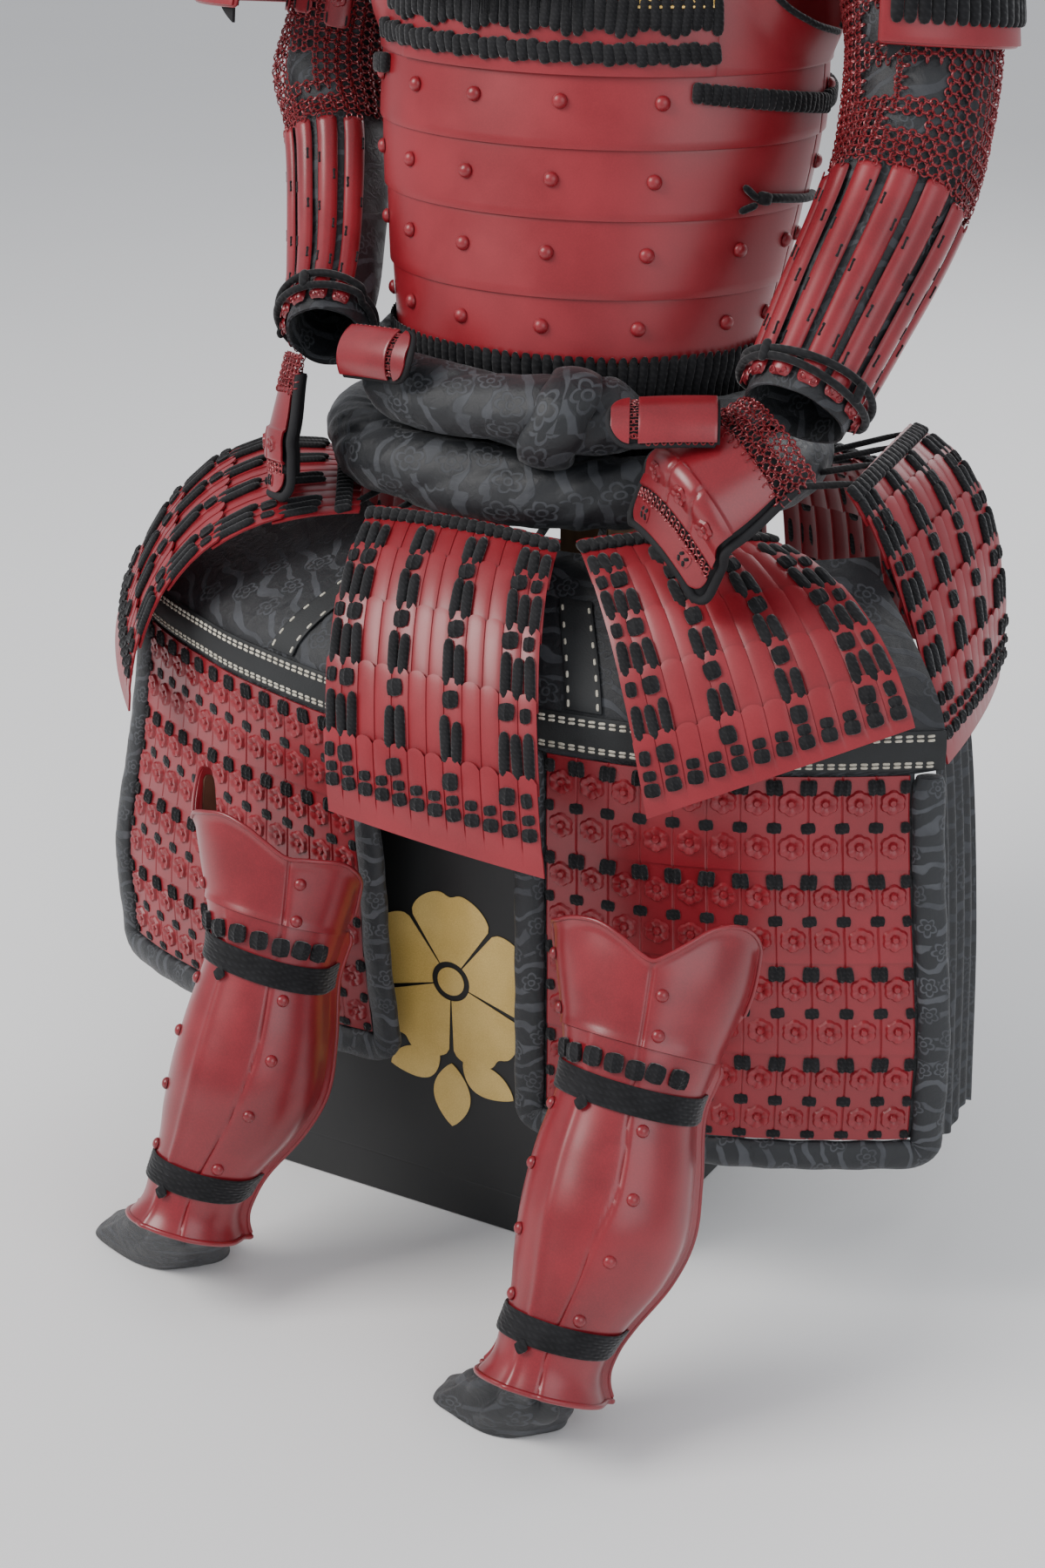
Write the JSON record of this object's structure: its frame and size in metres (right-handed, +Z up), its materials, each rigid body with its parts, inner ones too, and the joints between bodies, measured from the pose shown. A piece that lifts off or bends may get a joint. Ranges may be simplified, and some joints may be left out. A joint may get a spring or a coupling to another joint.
{
  "type": "samurai armour on its armour chest with an inner wooden stand",
  "caption": "Suit of lacquered samurai armour without a helmet, seated on a black armour chest, with laced skirt flaps, thigh guards, shin guards and armoured sleeves.",
  "frame": {"origin": "on the floor at the underside of the armour chest, in the middle of its width and 15 mm in front of its middle", "axes": "+Z up, -Y towards the front of the armour, +X towards the wearer's left hand"},
  "size_m": [0.7584, 0.7566, 1.1683],
  "materials": {
    "red_lacquer": "satin red lacquer",
    "red_mail": "red lacquered wire rings",
    "black_cord": "matt black cord and braid",
    "black_brocade": "black satin brocade",
    "black_leather": "matt black leather with cream stitches",
    "black_lacquer": "matt black lacquered wood",
    "wood": "oiled timber",
    "gold_metal": "gilt openwork",
    "black_hair": "black horsehair"
  },
  "bodies": {
    "root": {"chest_box": "black_lacquer", "chest_lid": "black_lacquer", "inner_stand": "wood", "breastplate": "red_lacquer", "backplate": "red_lacquer", "shoulder_strap_left": "red_lacquer", "shoulder_strap_right": "red_lacquer", "waist_lacing": "black_cord", "sash_upper": "black_brocade", "sash_lower": "black_brocade", "sash_tail": "black_brocade", "tasset_centre": "red_lacquer", "tasset_front_right": "red_lacquer", "tasset_side_right": "red_lacquer", "tasset_back_right": "red_lacquer", "tasset_back": "red_lacquer", "tasset_side_left": "red_lacquer", "tasset_front_left": "red_lacquer", "thigh_cloth_left": "black_brocade", "thigh_plates_left": "red_lacquer", "thigh_belt_left": "black_leather", "thigh_strap_left": "black_leather", "thigh_border_left": "black_brocade", "thigh_cloth_right": "black_brocade", "thigh_plates_right": "red_lacquer", "thigh_belt_right": "black_leather", "thigh_strap_right": "black_leather", "thigh_border_right": "black_brocade", "knee_plate_left": "red_lacquer", "shin_plate_left": "red_lacquer", "shin_strap_upper_left": "black_cord", "shin_strap_lower_left": "black_cord", "gaiter_left": "black_brocade", "knee_plate_right": "red_lacquer", "shin_plate_right": "red_lacquer", "shin_strap_upper_right": "black_cord", "shin_strap_lower_right": "black_cord", "gaiter_right": "black_brocade", "sleeve_left": "black_brocade", "elbow_mail_left": "red_mail", "forearm_guard_left": "red_lacquer", "wrist_strap_left": "black_cord", "upper_arm_guard_left": "red_lacquer", "hand_lining_left": "black_leather", "hand_plate_left": "red_lacquer", "wrist_mail_left": "red_mail", "thumb_plate_left": "red_lacquer", "sleeve_right": "black_brocade", "elbow_mail_right": "red_mail", "forearm_guard_right": "red_lacquer", "wrist_strap_right": "black_cord", "upper_arm_guard_right": "red_lacquer", "hand_lining_right": "black_leather", "hand_plate_right": "red_lacquer", "wrist_mail_right": "red_mail", "thumb_plate_right": "red_lacquer", "shoulder_guard_left": "red_lacquer", "shoulder_guard_right": "red_lacquer", "chest_plaque": "gold_metal", "hair_fringe": "black_hair"}
  },
  "joints": []
}
